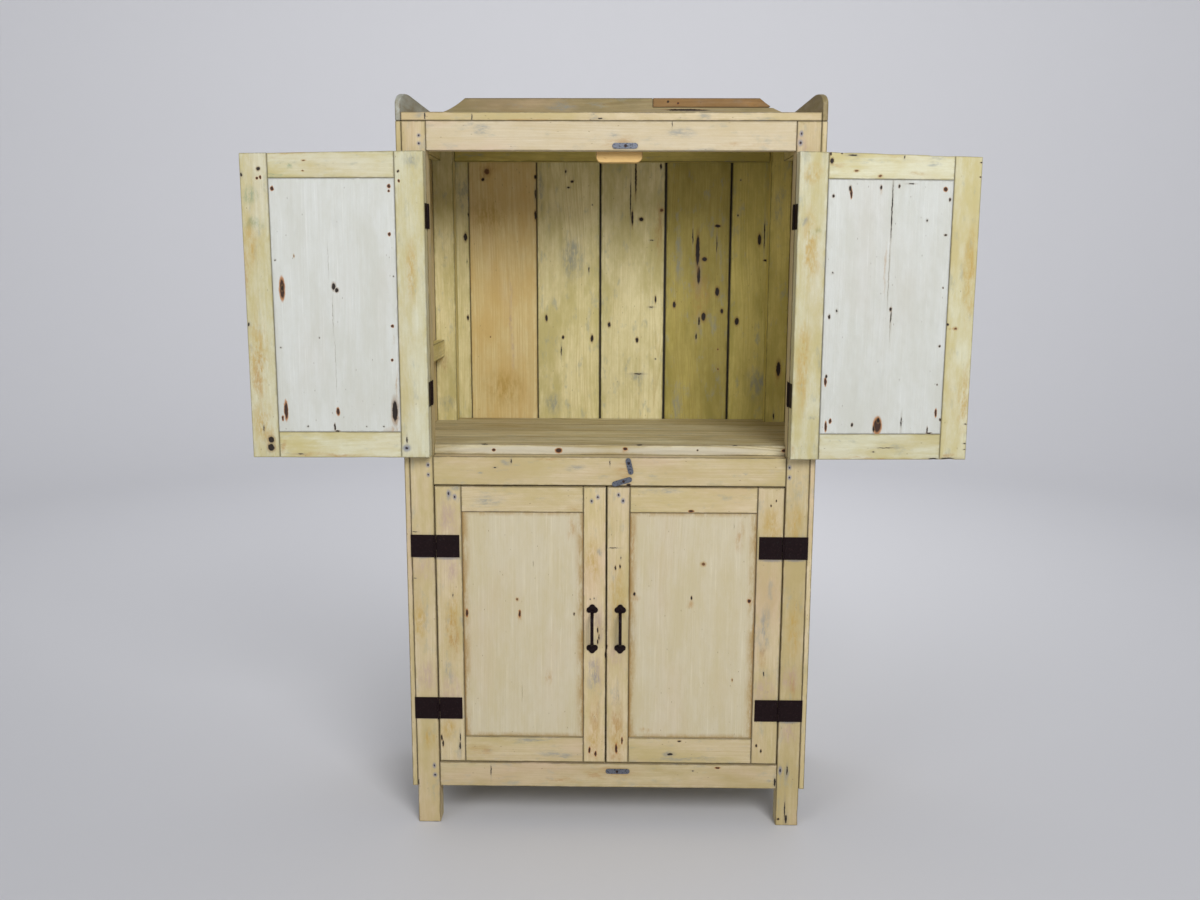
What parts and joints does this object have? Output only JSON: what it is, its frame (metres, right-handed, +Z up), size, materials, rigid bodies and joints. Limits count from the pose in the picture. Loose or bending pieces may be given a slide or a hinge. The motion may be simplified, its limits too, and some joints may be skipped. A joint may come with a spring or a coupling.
{
  "type": "larder cupboard",
  "caption": "Tall two-tier wooden larder cupboard on short feet, with hinged panelled doors above and below, turn buttons, pull handles and a low gallery round the top.",
  "frame": {"origin": "on the floor, in the middle of the whole object's width and depth with the upper doors open", "axes": "+X to the viewer's right, +Y from the doors to the back boards, +Z up"},
  "size_m": [1.7126, 0.531, 1.861],
  "materials": {
    "pale_pine": "bare sanded pine, stained grey round the nails",
    "door_panel": "worn off-white wash with rust marks",
    "aged_pine": "bare, darkened olive-brown",
    "gallery_pine": "bare, weathered",
    "repair_wood": "reddish brown replacement strip",
    "orange_pine": "bare, orange-tan",
    "black_iron": "black painted iron, lightly rusted",
    "grey_zinc": "dull galvanised steel"
  },
  "bodies": {
    "carcass": {"front_left_post": "pale_pine", "front_right_post": "pale_pine", "bottom_rail": "pale_pine", "middle_rail": "pale_pine", "top_rail": "pale_pine", "rear_frame": "aged_pine", "left_side_board": "pale_pine", "right_side_board": "pale_pine", "back_boards": "aged_pine", "floor_deck": "aged_pine", "shelf_deck": "aged_pine", "top_board": "pale_pine", "left_ear": "gallery_pine", "right_ear": "gallery_pine", "gallery_back": "gallery_pine", "gallery_repair_strip": "repair_wood", "door_stop_block": "orange_pine", "left_shelf_bearer": "aged_pine", "upper_left_door_upper_hinge_carcass_leaf": "black_iron", "upper_left_door_lower_hinge_carcass_leaf": "black_iron", "upper_right_door_upper_hinge_carcass_leaf": "black_iron", "upper_right_door_lower_hinge_carcass_leaf": "black_iron", "lower_left_door_upper_hinge_carcass_leaf": "black_iron", "lower_left_door_lower_hinge_carcass_leaf": "black_iron", "lower_right_door_upper_hinge_carcass_leaf": "black_iron", "lower_right_door_lower_hinge_carcass_leaf": "black_iron"},
    "upper_left_door": {"upper_left_door_hinge_stile": "pale_pine", "upper_left_door_closing_stile": "pale_pine", "upper_left_door_top_rail": "pale_pine", "upper_left_door_bottom_rail": "pale_pine", "upper_left_door_panel": "door_panel", "upper_left_door_upper_hinge_door_leaf": "black_iron", "upper_left_door_lower_hinge_door_leaf": "black_iron"},
    "upper_right_door": {"upper_right_door_hinge_stile": "pale_pine", "upper_right_door_closing_stile": "pale_pine", "upper_right_door_top_rail": "pale_pine", "upper_right_door_bottom_rail": "pale_pine", "upper_right_door_panel": "door_panel", "upper_right_door_upper_hinge_door_leaf": "black_iron", "upper_right_door_lower_hinge_door_leaf": "black_iron"},
    "lower_left_door": {"lower_left_door_hinge_stile": "pale_pine", "lower_left_door_closing_stile": "pale_pine", "lower_left_door_top_rail": "pale_pine", "lower_left_door_bottom_rail": "pale_pine", "lower_left_door_panel": "pale_pine", "lower_left_door_upper_hinge_door_leaf": "black_iron", "lower_left_door_lower_hinge_door_leaf": "black_iron", "lower_left_pull_handle": "black_iron"},
    "lower_right_door": {"lower_right_door_hinge_stile": "pale_pine", "lower_right_door_closing_stile": "pale_pine", "lower_right_door_top_rail": "pale_pine", "lower_right_door_bottom_rail": "pale_pine", "lower_right_door_panel": "pale_pine", "lower_right_door_upper_hinge_door_leaf": "black_iron", "lower_right_door_lower_hinge_door_leaf": "black_iron", "lower_right_pull_handle": "black_iron"},
    "top_rail_turn_button": {"top_rail_turn_button": "grey_zinc"},
    "middle_rail_upper_turn_button": {"middle_rail_upper_turn_button": "grey_zinc"},
    "middle_rail_lower_turn_button": {"middle_rail_lower_turn_button": "grey_zinc"},
    "bottom_rail_turn_button": {"bottom_rail_turn_button": "grey_zinc"}
  },
  "joints": [
    {"name": "upper_left_door_hinge", "type": "hinge", "parent": "carcass", "child": "upper_left_door", "pos_m": [-0.4285, -0.2325, 1.319], "axis": [0, 0, -1], "range_deg": [-180, 0]},
    {"name": "upper_right_door_hinge", "type": "hinge", "parent": "carcass", "child": "upper_right_door", "pos_m": [0.4285, -0.2325, 1.319], "axis": [0, 0, 1], "range_deg": [-183.5, 0]},
    {"name": "lower_left_door_hinge", "type": "hinge", "parent": "carcass", "child": "lower_left_door", "pos_m": [-0.4288, -0.231, 0.526], "axis": [0, 0, -1], "range_deg": [0, 175]},
    {"name": "lower_right_door_hinge", "type": "hinge", "parent": "carcass", "child": "lower_right_door", "pos_m": [0.4288, -0.231, 0.526], "axis": [0, 0, 1], "range_deg": [0, 175]},
    {"name": "top_rail_turn_button_pivot", "type": "hinge", "parent": "carcass", "child": "top_rail_turn_button", "pos_m": [0.0347, -0.2282, 1.6912], "axis": [0, 1, 0], "range_deg": [-90, 0]},
    {"name": "middle_rail_upper_turn_button_pivot", "type": "hinge", "parent": "carcass", "child": "middle_rail_upper_turn_button", "pos_m": [0.0474, -0.2282, 0.9435], "axis": [0, 1, 0], "range_deg": [-166.6, 0]},
    {"name": "middle_rail_lower_turn_button_pivot", "type": "hinge", "parent": "carcass", "child": "middle_rail_lower_turn_button", "pos_m": [0.0348, -0.2282, 0.8985], "axis": [0, 1, 0], "range_deg": [-73, 0]},
    {"name": "bottom_rail_turn_button_pivot", "type": "hinge", "parent": "carcass", "child": "bottom_rail_turn_button", "pos_m": [0.0229, -0.2282, 0.1445], "axis": [0, 1, 0], "range_deg": [-90, 0]}
  ]
}
